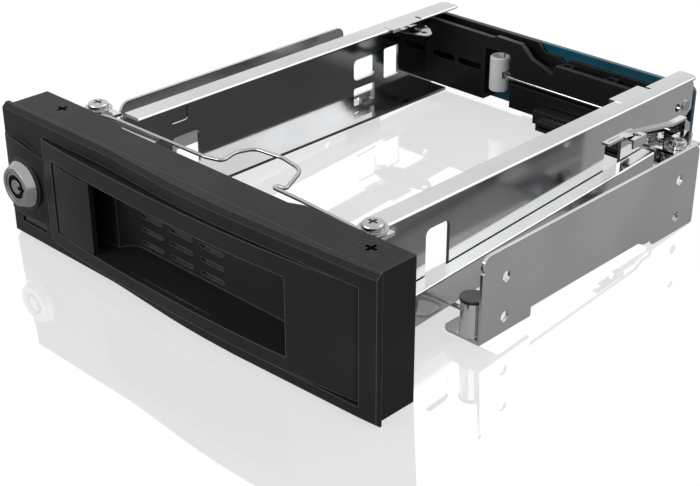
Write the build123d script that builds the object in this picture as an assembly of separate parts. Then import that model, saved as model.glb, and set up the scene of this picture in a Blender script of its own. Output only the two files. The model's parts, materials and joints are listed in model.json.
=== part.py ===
from build123d import *
from math import asin, cos, hypot, pi, radians, sin
import os

os.makedirs("parts", exist_ok=True)

# Everything is in millimetres. X runs to the right seen from the front, Y to the rear, Z up.
# The model is laid out with Y = 0 on the bay's front plane, the rear face of the bezel's lip,
# and is moved along Y at the end so that the origin lies under the middle of the whole cage.

# Disk that the cage takes
disk_width = 101.6
disk_height = 26.1
disk_side_gap = 0.5
disk_floor = 9.8

# Bay that the cage fits
cage_width = 146.0
bay_hole_radius = 1.5
bay_hole_front = 47.4
bay_hole_pitch = 79.25
bay_hole_low = 10.0
bay_hole_rise = 11.84

# Bezel
bezel_bottom = 0.5
bezel_top = 41.5
bezel_depth = 12.6
bezel_relief = 1.85
relief_left = -35.0
relief_right = 31.6
relief_ramp = 4.3
lip_margin = 1.1
lip_height = 42.0
lip_flat = 2.45
lip_crown = 4.5
lip_right = 2.0
lip_chamfer = 1.35
bow_start = -32.0
bow_middle = 24.0
pocket_depth = 5.0
bezel_wall = 1.4
cavity_wall = 1.6

# Door
door_left_margin = 18.0
door_bottom = 4.5
door_top = 36.5
door_gap = 0.4
door_top_gap = 0.5
door_wall = 2.0
door_skirt = 1.5
door_depth = 4.0
door_left_crown = 3.0
door_crown = 5.5
door_corner = 3.5
hinge_margin = 7.0
hinge_y = 0.4
hinge_barrel_radius = 1.9
hinge_pin_radius = 0.75
hinge_pin_length = 37.5
pin_clearance = 0.05

# Handle recess in the door
recess_left_margin = 24.0
recess_right_margin = 21.0
recess_bottom = 8.5
recess_top = 31.2
recess_depth = 7.8
recess_left_radius = 6.0
recess_right_radius = 12.0
tub_wall = 1.5
tub_back_wall = 1.0
tub_front = -3.3
vent_length = 9.4
vent_height = 1.1
vent_pitch_x = 12.6
vent_pitch_z = 4.2
vent_first_margin = 10.1
vent_first_z = 10.6
vent_columns = 3
vent_rows = 3

# Latch flap in the door
flap_left_margin = 5.1
flap_gap = 0.8
flap_height_gap = 0.5
flap_thickness = 1.6
flap_pin_radius = 0.6
flap_knuckle_radius = 1.45
flap_pin_inset = 2.3
flap_pocket_back = 3.4
hook_thickness = 3.4
hook_low = 24.6
hook_reach = 7.0
spring_low = 15.0
spring_high = 20.0
spring_wire = 0.4

# Lock in the left cheek
lock_margin = 8.0
lock_z = 19.5
lock_front = -7.0
cheek_margin = 1.2
cheek_bottom = 8.7
cheek_left_top = 32.6
cheek_right_top = 29.4
cheek_arch_top = 32.3
cheek_front = -3.7
cheek_radius = 40.0
gasket_radius = 7.85
gasket_thickness = 0.6
cone_base_radius = 7.25
cone_front_radius = 5.8
lock_body_radius = 6.0
lock_body_back = 8.8
lock_bore_radius = 4.6
lock_nut_radius = 7.5
lock_nut_thickness = 2.5
plug_sink = 0.25
key_ring_radius = 3.65
key_post_radius = 2.2
key_depth = 4.5
cam_thickness = 1.5
cam_gap = 0.4
cam_reach = 13.2
cam_half_width = 2.6
strike_thickness = 1.2
strike_front = 1.2
strike_back = 12.4
strike_low = 15.0
strike_high = 24.0

# Light window under the lock
light_left_reach = 4.9
light_right_reach = 7.4
light_bottom = 5.4
light_top = 7.5
light_board_thickness = 1.2

# Front sheet behind the bezel, with the ears that carry the wire spring
sheet = 1.0
front_half_width = 66.5
front_bottom = 3.0
ear_drop = 2.7
ear_inner = 49.5
ear_outer = 58.0
ear_back = 21.5
strip_back = 16.9
strip_left_end = -26.0
strip_right_end = 44.0
tab_width = 6.6
tab_reach = 7.8
bezel_screw_left_margin = 14.1
bezel_screw_right_margin = 10.0
bezel_screw_y = 7.75
bezel_screw_head_radius = 3.25
bezel_screw_head_height = 1.8
bezel_screw_shank_radius = 1.2
clamp_x = 54.6
clamp_y = 17.2
clamp_head_radius = 3.0
clamp_head_height = 1.6
clamp_shank_radius = 1.45
washer_radius = 4.0
washer_thickness = 0.45
wire_radius = 0.55

# Inner rails
flange_clearance = 0.4
rail_front = 24.2
rail_back = 166.5
rail_top_lip = 45.2
rail_bottom_lip = 42.5
rail_bottom_back = 157.5
rail_wall_back = 164.0
rail_tongue_top = 30.0
rail_corner = 3.0
emboss_height = 0.12
wall_emboss_depth = 0.25
lip_reach = 1.2
emboss_front = 131.0
emboss_back = 145.8
emboss_width = 2.8
slit_width = 1.0
hook_tab_reach = 3.0

# Leaf under the left flange that holds the disk down
hold_down_front = 135.8
hold_down_back = 149.0
hold_down_tip = 36.8
hold_down_height = 34.3
hold_down_sheet = 0.4
hold_down_rivet_radius = 0.5

# Outer side plates
plate_front = 37.7
plate_back = 136.0
plate_top = 30.5
plate_bottom = 5.0
plate_belly = 8.1
plate_step_front = 58.6
plate_step_back = 107.9
plate_tail_front = 115.7
foot_reach = 13.0
foot_depth = 8.5
post_margin = 5.0
post_y = 40.3
post_radius = 3.2
post_top = 16.0
post_cap_height = 1.0
post_cap_margin = 0.3
guide_pin_y = 47.2
guide_pin_z = 6.7
guide_pin_radius = 0.7
tie_front = 117.0
tie_back = 134.0
tie_height = 14.0
rivet_radius = 1.5
rivet_head_radius = 2.4
rivet_head_height = 0.8
rivet_skin = 0.3

# Ejector linkage
door_open_angle = 90.0
crank_x = -7.0
crank_y = 5.0
crank_pin_radius = 1.25
crank_lug_half = 1.9
crank_lug_low = 6.9
crank_lug_thickness = 1.9
yoke_low = 9.4
yoke_thickness = 1.0
yoke_slack = 0.7
yoke_side_slack = 0.35
arm_front = 13.5
arm_back = 137.7
arm_sheet = 0.8
arm_outer = 57.0
arm_inner = 52.6
arm_bend = 0.6
arm_front_top = 15.8
arm_back_top = 22.0
arm_front_bottom = 5.8
arm_back_bottom = 13.0
arm_lower_lip = 53.6
tongue_low = 16.0
tongue_thickness = 1.0
tongue_front = 128.0
lever_swing = 20.0
pivot_x = 57.3
pivot_y = 150.5
pivot_tab_low = 18.9
pivot_tab_front = 145.2
pivot_tab_back = 156.6
pivot_tab_reach = 9.6
pivot_screw_radius = 1.5
pivot_head_radius = 2.1
pivot_head_height = 0.9
lever_low = 20.05
lever_thickness = 1.2
lever_hub_radius = 3.2
lever_pin_offset = 3.4
lever_pin_radius = 0.9
lever_slot_slack = 0.35
rod_radius = 0.7
lever_rod_y = 159.3
lever_rod_z = 20.1
rod_window_back = 161.5

# Roller at the end of the lever
roller_x = -20.0
roller_radius = 3.45
roller_bore_radius = 2.3
roller_bottom = 14.7
roller_height = 12.3
roller_pin_clearance = 0.1
roller_window = 3.0
roller_swivel = 18.0
roller_window_margin = 2.0

# Rear panel, board and sockets
panel_front = 158.0
panel_depth = 7.0
panel_bottom = 10.0
panel_floor = 26.4
panel_left_top = 33.4
panel_right_top = 29.8
panel_dip = 27.6
panel_front_wall = 1.8
panel_rear_wall = 1.4
panel_slot_height = 2.3
panel_slot_low = 20.0
board_thickness = 1.6
board_half_width = 52.1
board_bottom = 8.5
board_top = 33.5
board_screw_x = 44.0
low_screw_margin = 4.4
board_screw_z = 29.0
board_screw_radius = 1.3
board_screw_head_radius = 2.5
board_screw_head_height = 1.5
board_corner = 2.0
socket_left = 0.0
socket_width = 42.0
socket_height = 5.6
socket_reach = 8.0
socket_bottom = 9.2
host_socket_depth = 5.4
host_socket_bottom = 11.0
host_socket_height = 6.2
data_socket_left = 8.0
data_socket_width = 15.0
power_socket_left = -19.0
power_socket_width = 25.0
panel_screw_y = 160.2
panel_screw_z = 29.2
panel_screw_head_radius = 1.7
panel_screw_head_height = 0.6
roller_notch_clearance = 2.2
roller_notch_headroom = 2.0
rod_groove_depth = 3.0

# Places that follow from the sizes above
rail_top = disk_floor + disk_height + flange_clearance + sheet
plate_outer = cage_width / 2
plate_inner = plate_outer - sheet
door_left = -plate_outer + door_left_margin
hinge_x = plate_outer - hinge_margin
recess_left = door_left + recess_left_margin
recess_right = hinge_x - recess_right_margin
vent_first_x = recess_left + vent_first_margin
flap_left = door_left + flap_left_margin
lock_x = -plate_outer + lock_margin
cheek_right = door_left - cheek_margin
strike_left = door_left + door_skirt
light_left = lock_x - light_left_reach
light_right = lock_x + light_right_reach
ear_top = bezel_top - ear_drop
bezel_screw_left_x = -plate_outer + bezel_screw_left_margin
bezel_screw_right_x = plate_outer - bezel_screw_right_margin
post_x = plate_outer - post_margin
tub_back = recess_depth + tub_back_wall
rail_inner = disk_width / 2 + disk_side_gap
rail_outer = rail_inner + sheet
lip_half_width = plate_outer + lip_margin
opening_left = door_left - door_gap
opening_right = hinge_x + hinge_barrel_radius + 0.7
opening_bottom = door_bottom - 0.3
opening_top = door_top + door_top_gap
through_right = hinge_x - 4.1
through_bottom = opening_bottom + 2.2
cavity_left = -plate_outer + bezel_wall
cavity_right = opening_left - cavity_wall
cavity_top = bezel_top - 3.3
flap_right = recess_left - flap_gap
flap_bottom = recess_bottom + flap_height_gap
flap_top = recess_top - flap_height_gap
flap_pin_x = flap_left + flap_pin_inset - flap_knuckle_radius / 2
flap_pin_y = -1.5
gasket_back = cheek_front + 0.4
gasket_front = gasket_back - gasket_thickness
board_front = panel_front + panel_depth
board_back = board_front + board_thickness
arm_travel = crank_y - (crank_x * sin(radians(door_open_angle)) + crank_y * cos(radians(door_open_angle)))
open_turn = radians(door_open_angle)
open_pin_x = hinge_x + crank_x * cos(open_turn) - crank_y * sin(open_turn)
fork_right = open_pin_x + crank_pin_radius + 0.15
lever_pin_travel = lever_pin_offset * sin(radians(lever_swing))
lever_pin_x = pivot_x - lever_pin_offset
rear_reach = board_back + host_socket_depth
middle_y = (lock_front + rear_reach) / 2


def rect(u0, u1, v0, v1):
    return Pos((u0 + u1) / 2, (v0 + v1) / 2) * Rectangle(u1 - u0, v1 - v0)


def along_x(outline, x0, x1):
    return extrude(Plane.YZ.offset(x0) * outline, x1 - x0, dir=(1, 0, 0))


def along_y(outline, y0, y1):
    return extrude(Plane.XZ.offset(-y0) * outline, y1 - y0, dir=(0, 1, 0))


def along_z(outline, z0, z1):
    return extrude(Plane.XY.offset(z0) * outline, z1 - z0, dir=(0, 0, 1))


def block(x0, x1, y0, y1, z0, z1):
    return along_z(rect(x0, x1, y0, y1), z0, z1)


def rod_x(x0, x1, y, z, radius):
    return along_x(Pos(y, z) * Circle(radius), x0, x1)


def rod_y(x, y0, y1, z, radius):
    return along_y(Pos(x, z) * Circle(radius), y0, y1)


def rod_z(x, y, z0, z1, radius):
    return along_z(Pos(x, y) * Circle(radius), z0, z1)


def rounded_polygon(points, radius_by_corner):
    outline = Polygon(*points, align=None)
    for (u, v), radius in radius_by_corner.items():
        corner = outline.vertices().sort_by_distance(Vector(u, v, 0))[0]
        outline = fillet(corner, radius)
    return outline


def mirrored(shape):
    return mirror(shape, about=Plane.YZ)


def group(shapes):
    return Compound(children=[s.solid() for s in shapes])


def cross_recess(x, y, top, length, width, depth):
    bar = block(x - length / 2, x + length / 2, y - width / 2, y + width / 2, top - depth, top)
    other = block(x - width / 2, x + width / 2, y - length / 2, y + length / 2, top - depth, top)
    return bar + other


# Bezel, the moulded front frame of the cage

def bezel_lip():
    right = (lip_half_width, -lip_right)
    bow = Spline(
        right,
        (bow_middle + 26, -0.74 * lip_crown),
        (bow_middle, -lip_crown),
        (bow_middle - 28, -0.89 * lip_crown),
        (bow_start, -lip_flat),
        tangents=[(-1, -0.11), (-1, 0)],
    )
    edges = [
        Line((-lip_half_width, 0), (lip_half_width, 0)),
        Line((lip_half_width, 0), right),
        bow,
        Line((bow_start, -lip_flat), (-lip_half_width, -lip_flat)),
        Line((-lip_half_width, -lip_flat), (-lip_half_width, 0)),
    ]
    lip = along_z(make_face(edges), 0, lip_height)
    rim = [
        edge
        for edge in lip.edges()
        if abs(edge.center().Z - lip_height / 2) > lip_height / 2 - 0.01 and edge.center().Y < -lip_right
    ]
    return chamfer(rim, lip_chamfer)


def bezel_body():
    back = bezel_depth
    front_of_relief = bezel_depth - bezel_relief
    body = block(-plate_outer, plate_outer, 0, back, bezel_bottom, bezel_top)
    relief = Polygon(
        (relief_left - relief_ramp, back),
        (relief_left, front_of_relief),
        (relief_right, front_of_relief),
        (relief_right + relief_ramp, back),
        align=None,
    )
    return body - along_z(relief, opening_top, bezel_top)


def lock_cheek():
    arch_middle = (-lip_half_width + cheek_right) / 2
    edges = [
        Line((-lip_half_width, cheek_bottom), (cheek_right, cheek_bottom)),
        Line((cheek_right, cheek_bottom), (cheek_right, cheek_right_top)),
        ThreePointArc(
            (cheek_right, cheek_right_top),
            (arch_middle, cheek_arch_top),
            (-lip_half_width, cheek_left_top),
        ),
        Line((-lip_half_width, cheek_left_top), (-lip_half_width, cheek_bottom)),
    ]
    pad = along_y(make_face(edges), cheek_front - 1, -1)
    barrel = rod_z(lock_x, cheek_front + cheek_radius, 0, lip_height, cheek_radius)
    return pad & barrel


def door_opening():
    outline = rounded_polygon(
        [
            (opening_left, opening_bottom),
            (opening_right, opening_bottom),
            (opening_right, opening_top),
            (opening_left, opening_top),
        ],
        {(opening_left, opening_bottom): door_corner, (opening_left, opening_top): 1.0},
    )
    pocket = along_y(outline, -10, pocket_depth)
    through = block(opening_left, through_right, 0, bezel_depth, through_bottom, opening_top)
    return pocket + through


def bezel_screw_places():
    return [(bezel_screw_left_x, bezel_screw_y), (bezel_screw_right_x, bezel_screw_y)]


def bezel_frame():
    frame = bezel_lip() + bezel_body() + lock_cheek() - door_opening()
    frame -= block(cavity_left, cavity_right, 3.0, bezel_depth, 2.2, cavity_top)
    cam_low = lock_z - cam_reach + 1
    cam_high = lock_z + cam_half_width + 0.8
    frame -= block(cavity_right, opening_left, lock_body_back - 0.6, bezel_depth, cam_low, cam_high)
    frame -= rod_y(lock_x, -10, 4, lock_z, lock_body_radius + 0.15)
    frame -= rod_y(lock_x, -10, gasket_back, lock_z, gasket_radius + 0.05)
    frame -= block(light_left, light_right, -10, 4, light_bottom, light_top)
    tab_right = bezel_screw_right_x + tab_width / 2 + 0.3
    tab_left = bezel_screw_right_x - tab_width / 2 - 0.3
    frame -= block(
        tab_left, tab_right, bezel_depth - tab_reach - 0.4, bezel_depth, cavity_top - 1.3,
        cavity_top,
    )
    frame -= arm_passage()
    for x, y in bezel_screw_places():
        frame -= rod_z(x, y, cavity_top - sheet - 1.8, bezel_top, bezel_screw_shank_radius + 0.3)
        frame -= rod_z(x, y, bezel_top - bezel_screw_head_height, bezel_top, bezel_screw_head_radius + 0.1)
    low = (opening_bottom + opening_top) / 2 - hinge_pin_length / 2
    frame -= rod_z(hinge_x, hinge_y, low, low + hinge_pin_length, hinge_pin_radius + 0.01)
    return frame


def arm_passage():
    # Notch in the opening's sill for the ejector arm, and a slot beside it for the arm's fork
    notch = block(
        arm_lower_lip - 0.4, arm_outer + 0.4, pocket_depth - 0.1, bezel_depth,
        arm_front_bottom - 0.4, through_bottom + 0.1,
    )
    low = yoke_low - 0.4
    high = yoke_low + yoke_thickness + 0.4
    return notch + block(through_right - 0.1, fork_right + 0.4, pocket_depth - 0.1, bezel_depth, low, high)


def bezel_screws():
    screws = []
    for x, y in bezel_screw_places():
        head = rod_z(x, y, bezel_top - bezel_screw_head_height, bezel_top, bezel_screw_head_radius)
        shank = rod_z(x, y, cavity_top - sheet - 1.5, bezel_top - 1, bezel_screw_shank_radius)
        screws.append(head + shank - cross_recess(x, y, bezel_top, 3.6, 0.9, 1.0))
    return group(screws)


def light_window():
    return block(
        light_left + 0.05, light_right - 0.05, -lip_flat + 0.5, 3.0, light_bottom + 0.05,
        light_top - 0.05,
    )


def light_board():
    return block(
        light_left, light_right, 3.0, 3.0 + light_board_thickness, light_bottom - 1.5,
        light_top + 1.0,
    )


# Key lock

def lock_gasket():
    ring = rod_y(lock_x, gasket_front, gasket_back, lock_z, gasket_radius)
    return ring - rod_y(lock_x, gasket_front, gasket_back, lock_z, lock_body_radius + 0.05)


def lock_housing():
    profile = Polygon(
        (0, lock_front),
        (cone_front_radius, lock_front),
        (cone_base_radius, gasket_front - 0.6),
        (cone_base_radius, gasket_front),
        (lock_body_radius, gasket_front),
        (lock_body_radius, lock_body_back),
        (0, lock_body_back),
        align=None,
    )
    body = revolve(profile, Axis.Y)
    body = Pos(lock_x, 0, lock_z) * body
    return body - rod_y(lock_x, lock_front, lock_body_back, lock_z, lock_bore_radius)


def lock_nut():
    hexagon = Pos(lock_x, lock_z) * RegularPolygon(lock_nut_radius, 6, rotation=30)
    nut = along_y(hexagon, 3.0, 3.0 + lock_nut_thickness)
    return nut - rod_y(lock_x, 3.0, 3.0 + lock_nut_thickness, lock_z, lock_body_radius + 0.05)


def lock_plug():
    front = lock_front + plug_sink
    plug = rod_y(lock_x, front, lock_body_back + cam_gap, lock_z, lock_bore_radius - pin_clearance)
    key_ring = rod_y(lock_x, front, front + key_depth, lock_z, key_ring_radius)
    key_post = rod_y(lock_x, front, front + key_depth, lock_z, key_post_radius)
    notch = block(
        lock_x + key_post_radius - 1.2, lock_x + key_ring_radius + 0.5,
        front, front + key_depth, lock_z - 0.6, lock_z + 0.6,
    )
    return plug - (key_ring - key_post) - notch


def lock_cam():
    back = lock_body_back + cam_gap
    end = lock_z - cam_reach + cam_half_width
    blade = along_y(
        rect(lock_x - cam_half_width, lock_x + cam_half_width, end, lock_z), back,
        back + cam_thickness,
    )
    blade += rod_y(lock_x, back, back + cam_thickness, end, cam_half_width)
    blade += rod_y(lock_x, back, back + cam_thickness, lock_z, lock_bore_radius - 0.4)
    return blade - rod_y(lock_x, back, back + cam_thickness, lock_z, 1.3)


def cam_screw():
    back = lock_body_back + cam_gap + cam_thickness
    return rod_y(lock_x, back, back + 1.1, lock_z, 2.6) + rod_y(
        lock_x, back - cam_thickness, back + 0.2, lock_z, 1.25,
    )


# Door with its handle recess, crank and lock strike

def door_front_curve(inset):
    # The door's front face in plan, set back by the inset
    end = (hinge_x, hinge_y - hinge_barrel_radius + inset)
    points = [
        (door_left, inset - door_left_crown),
        (door_left + 25, inset - 0.89 * door_crown),
        (-3, inset - door_crown),
        (33, inset - 0.86 * door_crown),
        end,
    ]
    return Spline(*points, tangents=[(1, -0.11), (1, 0.13)])


def door_block():
    curve = door_front_curve(0)
    start = curve @ 0
    end = curve @ 1
    back = hinge_y + hinge_barrel_radius
    edges = [
        curve,
        Line(end, (hinge_x, back)),
        Line((hinge_x, back), (hinge_x - 3.2, back)),
        Line((hinge_x - 3.2, back), (hinge_x - 3.2, door_depth)),
        Line((hinge_x - 3.2, door_depth), (door_left, door_depth)),
        Line((door_left, door_depth), start),
    ]
    blank = along_z(make_face(edges), door_bottom, door_top)
    corner = [
        edge
        for edge in blank.edges().filter_by(Axis.Y, tolerance=5)
        if abs(edge.center().X - door_left) < 0.1 and abs(edge.center().Z - door_bottom) < 0.1
    ]
    blank = fillet(corner, door_corner - door_gap)
    return blank + rod_z(hinge_x, hinge_y, door_bottom, door_top, hinge_barrel_radius)


def door_hollow():
    curve = door_front_curve(door_wall)
    left = door_left + door_skirt
    right = hinge_x - hinge_barrel_radius - 0.2
    edges = [
        curve,
        Line(curve @ 1, (hinge_x, door_depth)),
        Line((hinge_x, door_depth), (door_left, door_depth)),
        Line((door_left, door_depth), curve @ 0),
    ]
    cut = along_z(make_face(edges), door_bottom + door_skirt, door_top - door_skirt)
    return cut & block(left, right, -10, door_depth, door_bottom, door_top)


def recess_plan(grow, front):
    left = recess_left - grow
    right = recess_right + grow
    back = recess_depth + grow * tub_back_wall / tub_wall
    left_radius = recess_left_radius + grow
    right_radius = recess_right_radius
    scoop_middle = (right - right_radius * (1 - cos(pi / 4)), back - right_radius * (1 - sin(pi / 4)))
    return make_face([
        Line((left, front), (left, back - left_radius)),
        ThreePointArc(
            (left, back - left_radius),
            (left + left_radius * (1 - cos(pi / 4)), back - left_radius * (1 - sin(pi / 4))),
            (left + left_radius, back),
        ),
        Line((left + left_radius, back), (right - right_radius, back)),
        ThreePointArc((right - right_radius, back), scoop_middle, (right, back - right_radius)),
        Line((right, back - right_radius), (right, front)),
        Line((right, front), (left, front)),
    ])


def flap_pocket(grow, front):
    return block(
        flap_left - flap_gap - grow, recess_left + 1, front, flap_pocket_back + grow,
        recess_bottom - grow, recess_top + grow,
    )


def vents():
    cuts = None
    for column in range(vent_columns):
        for row in range(vent_rows):
            slot = Pos(vent_first_x + column * vent_pitch_x, vent_first_z + row * vent_pitch_z)
            slot = slot * SlotOverall(vent_length, vent_height)
            cut = along_y(slot, recess_depth - 1, tub_back + 1)
            cuts = cut if cuts is None else cuts + cut
    return cuts


def lock_strike():
    # Steel hook inside the door's left skirt; the lock's cam swings up into it, in front of its bar
    right = strike_left + strike_thickness
    hook = block(strike_left, right, strike_front, strike_back, strike_low, strike_high)
    cam_front = lock_body_back + cam_gap - 0.5
    cam_back = lock_body_back + cam_gap + cam_thickness + 0.5
    return hook - block(strike_left, right, cam_front, cam_back, strike_low, lock_z + cam_half_width + 0.3)


def door_crank():
    low = crank_lug_low
    centre_x = hinge_x + crank_x
    centre_y = hinge_y + crank_y
    lug = block(
        centre_x - crank_lug_half, centre_x + crank_lug_half, -1.4, centre_y, low,
        low + crank_lug_thickness,
    )
    lug += rod_z(centre_x, centre_y, low, low + crank_lug_thickness, crank_lug_half)
    gusset = block(centre_x - 0.6, centre_x + 0.6, -1.4, 1.6, door_bottom + door_skirt - 0.1, low + 0.1)
    return lug + gusset - rod_z(centre_x, centre_y, low, low + crank_lug_thickness, crank_pin_radius)


def door_shell():
    shell = door_block() - door_hollow()
    tub = along_z(recess_plan(tub_wall, tub_front), recess_bottom - tub_wall, recess_top + tub_wall)
    shell += tub + flap_pocket(tub_wall, -1.5)
    shell -= along_z(recess_plan(0, -10), recess_bottom, recess_top)
    shell -= flap_pocket(0, -10)
    shell -= vents()
    hook_window_high = hook_low + hook_thickness + 0.5
    shell -= block(flap_pin_x - 2.4, flap_pin_x + 5.2, 1, 6, hook_low - 0.5, hook_window_high)
    shell -= rod_z(
        flap_pin_x, flap_pin_y, recess_bottom - tub_wall, recess_top + tub_wall,
        flap_pin_radius + 0.01,
    )
    shell += door_crank()
    shell -= rod_z(hinge_x, hinge_y, door_bottom, door_top, hinge_pin_radius + pin_clearance)
    return shell


def door_hinge_pin():
    low = (opening_bottom + opening_top) / 2 - hinge_pin_length / 2
    return rod_z(hinge_x, hinge_y, low, low + hinge_pin_length, hinge_pin_radius)


def door_crank_pin():
    top = yoke_low + yoke_thickness + 0.8
    return rod_z(hinge_x + crank_x, hinge_y + crank_y, crank_lug_low, top, crank_pin_radius)


# Latch flap, its pin and return spring

def latch_flap():
    left_front = -3.35
    right_front = -4.75
    middle_x = (flap_left + flap_right) / 2
    edges = [
        Line((flap_left, 0), (flap_left, left_front)),
        ThreePointArc((flap_left, left_front), (middle_x, -4.45), (flap_right, right_front)),
        Line((flap_right, right_front), (flap_right, right_front + flap_thickness)),
        Line((flap_right, right_front + flap_thickness), (flap_pin_x + 1.6, flap_pin_y)),
        Line((flap_pin_x + 1.6, flap_pin_y), (flap_pin_x + 1.2, 0)),
        Line((flap_pin_x + 1.2, 0), (flap_left, 0)),
    ]
    flap = along_z(make_face(edges), flap_bottom, flap_top)
    flap -= block(flap_left, flap_pin_x + 4, -2.9, 1, spring_low - 0.3, spring_high + 0.3)
    tail = Polygon(
        (flap_pin_x - 1.2, -1.0),
        (flap_pin_x + 1.2, -1.0),
        (flap_pin_x + 1.2, hook_reach),
        (door_left + 0.1, hook_reach),
        (door_left + 0.1, hook_reach - 1.2),
        (flap_pin_x - 1.2, hook_reach - 1.8),
        align=None,
    )
    flap += along_z(tail, hook_low, hook_low + hook_thickness)
    return flap - rod_z(flap_pin_x, flap_pin_y, flap_bottom, flap_top, flap_pin_radius + pin_clearance)


def latch_pin():
    return rod_z(flap_pin_x, flap_pin_y, recess_bottom - tub_wall, recess_top + tub_wall, flap_pin_radius)


def latch_spring():
    inner = flap_pin_radius + 0.1
    coil = rod_z(flap_pin_x, flap_pin_y, spring_low, spring_high, inner + spring_wire)
    leg = block(
        flap_pin_x - spring_wire, flap_pin_x, flap_pin_y + 0.5, flap_pocket_back, spring_low,
        spring_low + spring_wire,
    )
    return coil + leg - rod_z(flap_pin_x, flap_pin_y, spring_low, spring_high, inner)


# Front sheet, its screws and the wire spring

def front_sheet():
    back = bezel_depth + sheet
    plate = along_y(rect(-front_half_width, front_half_width, front_bottom, ear_top), bezel_depth, back)
    plate -= block(-rail_inner, rail_inner, bezel_depth, back, disk_floor - sheet, opening_top)
    plate -= block(rail_inner - 1, fork_right + 0.4, bezel_depth, back, 4.5, arm_back_top - 3.8)
    plate -= block(
        cavity_left, -rail_inner - 0.6, bezel_depth, back, lock_z - cam_reach - 1.0,
        lock_z + lock_nut_radius + 1.0,
    )
    low = ear_top - sheet
    for side, end in ((-1, strip_left_end), (1, strip_right_end)):
        plate += block(
            min(end, side * ear_outer), max(end, side * ear_outer), back, strip_back, low, ear_top,
        )
        ear = rect(
            min(side * ear_inner, side * ear_outer), max(side * ear_inner, side * ear_outer), back,
            ear_back,
        )
        plate += along_z(ear, low, ear_top)
        plate -= rod_z(side * clamp_x, clamp_y, low, ear_top, clamp_shank_radius + 0.05)
    for x, y in bezel_screw_places():
        tab_top = cavity_top - 0.1
        right = x + tab_width / 2
        if x < 0:
            right = min(right, cavity_right - 0.2)
        plate += block(x - tab_width / 2, right, bezel_depth - tab_reach, back, tab_top - sheet, tab_top)
        plate -= rod_z(x, y, tab_top - sheet, tab_top, bezel_screw_shank_radius + 0.05)
    return plate


def clamp_screws():
    head_low = ear_top + 2 * wire_radius + 0.1 + washer_thickness
    screws = []
    for side in (-1, 1):
        x = side * clamp_x
        head = rod_z(x, clamp_y, head_low, head_low + clamp_head_height, clamp_head_radius)
        head = fillet(head.edges().sort_by(Axis.Z)[-1], clamp_head_height * 0.6)
        shank = rod_z(x, clamp_y, ear_top - 4, head_low, clamp_shank_radius)
        screws.append(head + shank - cross_recess(x, clamp_y, head_low + clamp_head_height, 3.0, 0.8, 0.9))
    return group(screws)


def clamp_washers():
    low = ear_top + 2 * wire_radius + 0.1
    washers = []
    for side in (-1, 1):
        disc = rod_z(side * clamp_x, clamp_y, low, low + washer_thickness, washer_radius)
        washers.append(
            disc - rod_z(side * clamp_x, clamp_y, low, low + washer_thickness, clamp_shank_radius + 0.05),
        )
    return group(washers)


def loop_spring():
    height = ear_top + wire_radius + 0.05
    hook = clamp_shank_radius + wire_radius + 0.05
    plan = [
        (-clamp_x - hook - 1.2, clamp_y + hook * 0.5),
        (-clamp_x - hook - 0.4, clamp_y - hook - 0.2),
        (-44.0, 16.4),
        (-7.5, 17.2),
        (-2.3, 18.9),
        (-4.0, 25.0),
        (-1.9, 30.3),
        (8.0, 31.3),
        (17.0, 29.5),
        (22.5, 18.6),
        (19.6, 18.5),
        (19.6, 17.0),
        (30.0, 16.7),
        (clamp_x + hook + 0.4, clamp_y - hook - 0.2),
        (clamp_x + hook + 1.2, clamp_y + hook * 0.5),
    ]
    radii = [1.2, 8.0, 8.0, 1.6, 5.0, 3.5, 8.0, 6.5, 0.8, 0.7, 0.7, 2.0, 1.2]
    path = FilletPolyline(*[(x, y, height) for x, y in plan], radius=radii)
    start = path @ 0
    section = Plane(origin=start, z_dir=path % 0) * Circle(wire_radius)
    return sweep(section, path=path)


# Inner rails, bent from one sheet each

def rail_blank():
    back = rail_wall_back
    wall = rounded_polygon(
        [
            (bezel_depth + sheet, disk_floor - sheet),
            (back + 0.6, disk_floor - sheet),
            (back + 0.6, 22.0),
            (rail_back - 6.0, 25.0),
            (back, 27.0),
            (back, rail_top),
            (rail_front, rail_top),
            (rail_front, rail_tongue_top),
            (bezel_depth + sheet, rail_tongue_top),
        ],
        {(back, rail_top): rail_corner, (back + 0.6, 22.0): 2.0},
    )
    rail = along_x(wall, rail_inner, rail_outer)
    top = rounded_polygon(
        [
            (rail_top_lip, rail_front),
            (rail_outer, rail_front),
            (rail_outer, rail_back),
            (rail_top_lip, rail_back),
        ],
        {(rail_outer, rail_back): 2.5, (rail_top_lip, rail_back): 1.0},
    )
    rail += along_z(top, rail_top - sheet, rail_top)
    rail += block(
        rail_bottom_lip, rail_outer, bezel_depth + sheet + 1.4, rail_bottom_back,
        disk_floor - sheet, disk_floor,
    )
    outer_top = [
        e for e in rail.edges().filter_by(Axis.Y)
        if e.center().X > rail_outer - 0.01 and e.center().Z > rail_top - 0.01
    ]
    rail = fillet(outer_top, sheet * 0.8)
    rail -= rod_x(rail_inner, rail_outer, panel_screw_y, panel_screw_z, 1.3)
    rail -= rod_x(rail_inner, rail_outer, panel_screw_y - 4.3, panel_screw_z + 0.4, 1.3)
    return rail


def wall_window(y0, y1, z0, z1, radius):
    return along_x(
        Pos((y0 + y1) / 2, (z0 + z1) / 2) * RectangleRounded(y1 - y0, z1 - z0, radius), rail_inner,
        rail_outer,
    )


def flange_emboss():
    inner = rail_top_lip - 1.5
    outer = rail_top_lip + emboss_width
    top = rail_top + emboss_height
    raised = block(inner, outer, emboss_front, emboss_back, rail_top - sheet, top)
    slit = block(
        inner - 0.5, outer - 0.2, emboss_back + 0.2, emboss_back + 0.2 + slit_width,
        rail_top - sheet, top,
    )
    return raised, slit


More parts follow.
